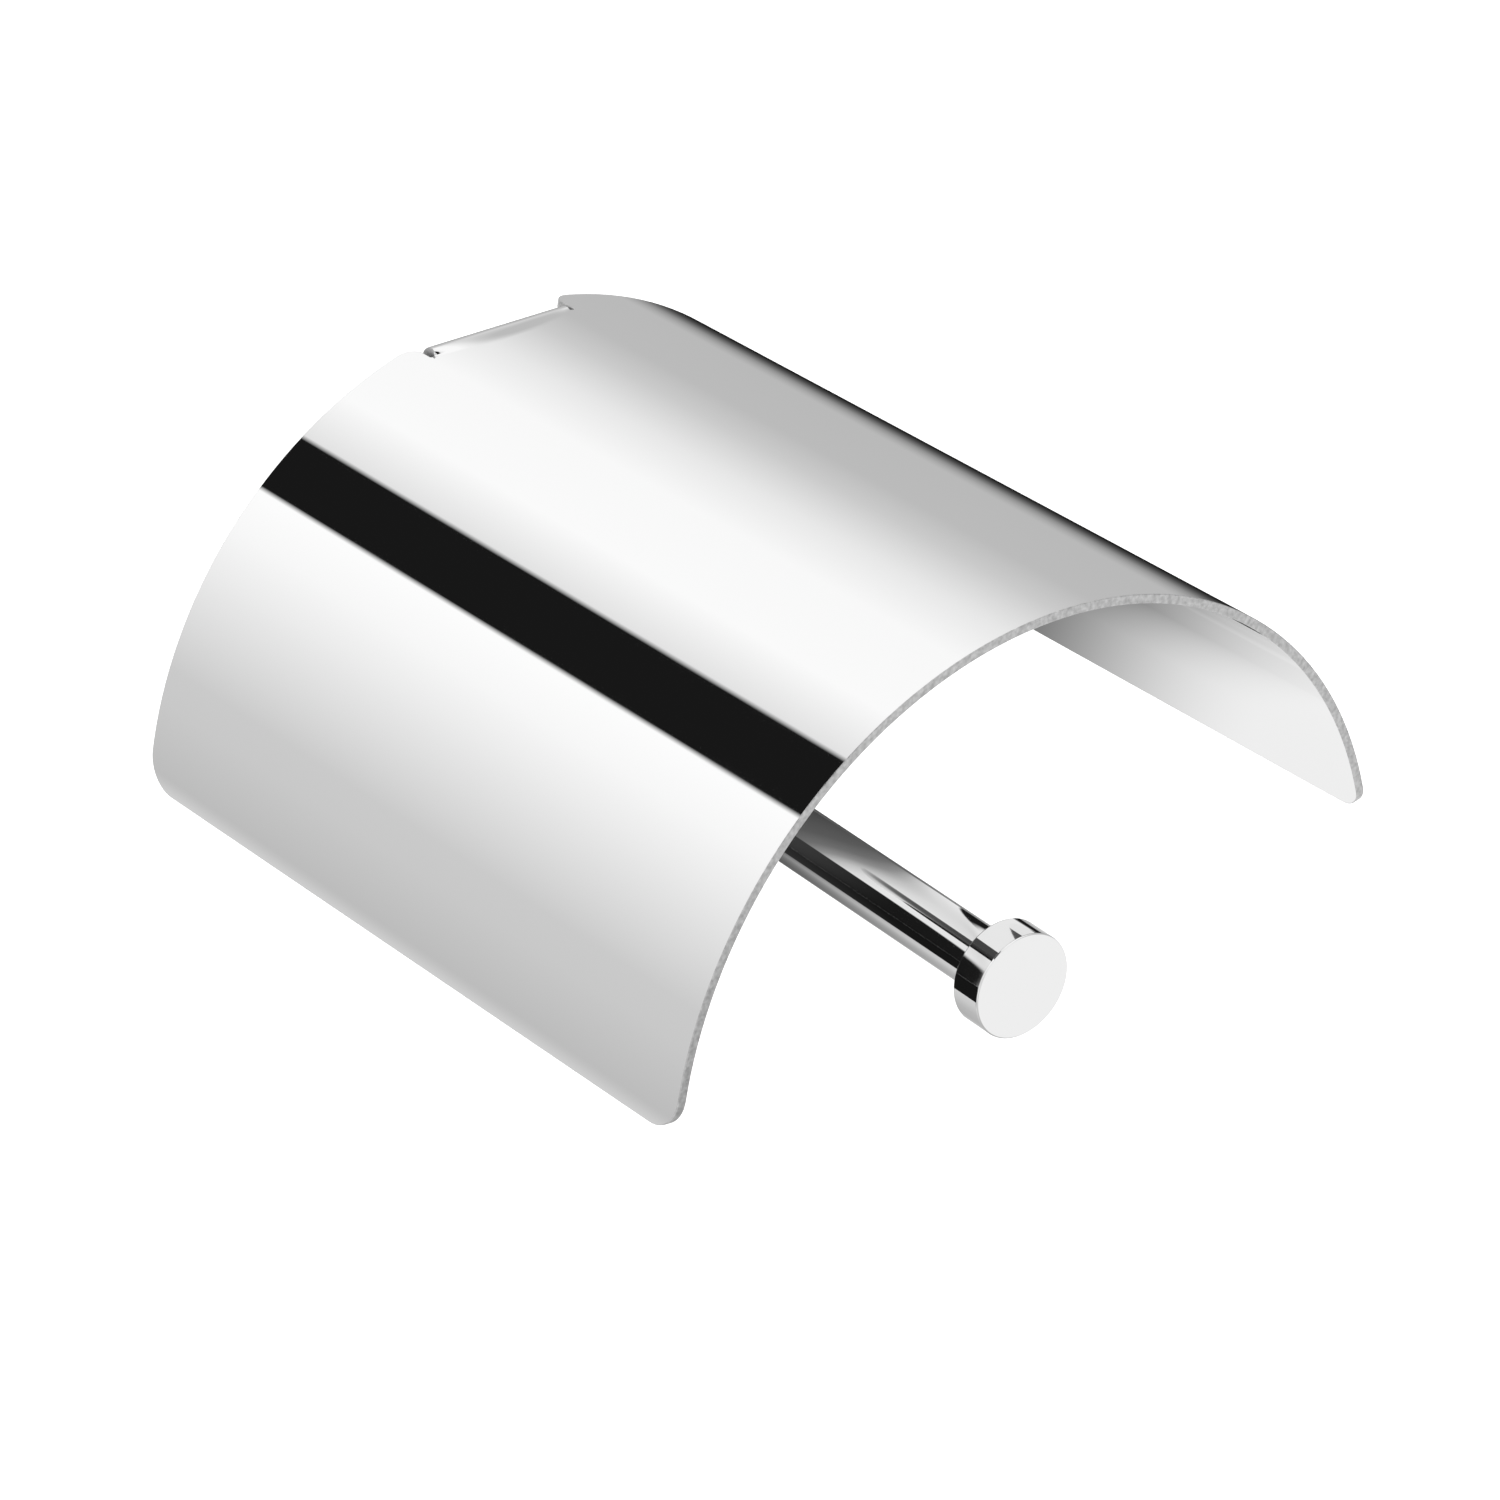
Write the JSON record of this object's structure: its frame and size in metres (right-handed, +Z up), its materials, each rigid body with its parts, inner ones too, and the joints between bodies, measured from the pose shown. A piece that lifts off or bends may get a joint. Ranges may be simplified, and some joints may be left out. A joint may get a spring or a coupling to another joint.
{
  "type": "toilet paper holder",
  "caption": "Wall-mounted toilet paper holder: a rod with a capped end on a post, under a curved sheet cover that swings up.",
  "frame": {"origin": "centre of the wall plate, on the wall's surface", "axes": "+X towards the rod's free end, +Y into the wall, +Z up; the rod itself leans 2.5 degrees out from the wall"},
  "size_m": [0.1839, 0.1414, 0.0776],
  "materials": {
    "polished_sheet": "mirror polished",
    "polished_bar": "mirror polished",
    "zinc_steel": "bright zinc plated",
    "spring_steel": "hardened and tempered",
    "black_steel": "black oxide",
    "acetal": "turned",
    "nitrile_rubber": "moulded",
    "foam_rubber": "cut foam"
  },
  "bodies": {
    "mount": {"rod": "polished_bar", "end_cap": "polished_bar", "cap_stud": "zinc_steel", "tie_stud": "zinc_steel", "backing_washer": "zinc_steel", "disc_spring": "spring_steel", "friction_washer": "acetal", "spindle": "polished_bar", "stop_pin": "zinc_steel", "post": "polished_bar", "set_screws": "black_steel", "wall_stub": "zinc_steel", "stub_screw": "zinc_steel", "wall_plate": "zinc_steel", "rosette": "polished_bar", "rosette_gasket": "foam_rubber", "rosette_o_ring": "nitrile_rubber"},
    "cover": {"cover": "polished_sheet", "pivot_bush": "acetal"}
  },
  "joints": [
    {"name": "cover_swing", "type": "hinge", "parent": "mount", "child": "cover", "pos_m": [0.0242, -0.07356, 0], "axis": [-0.999, 0.0436, 0], "range_deg": [0, 80]}
  ]
}
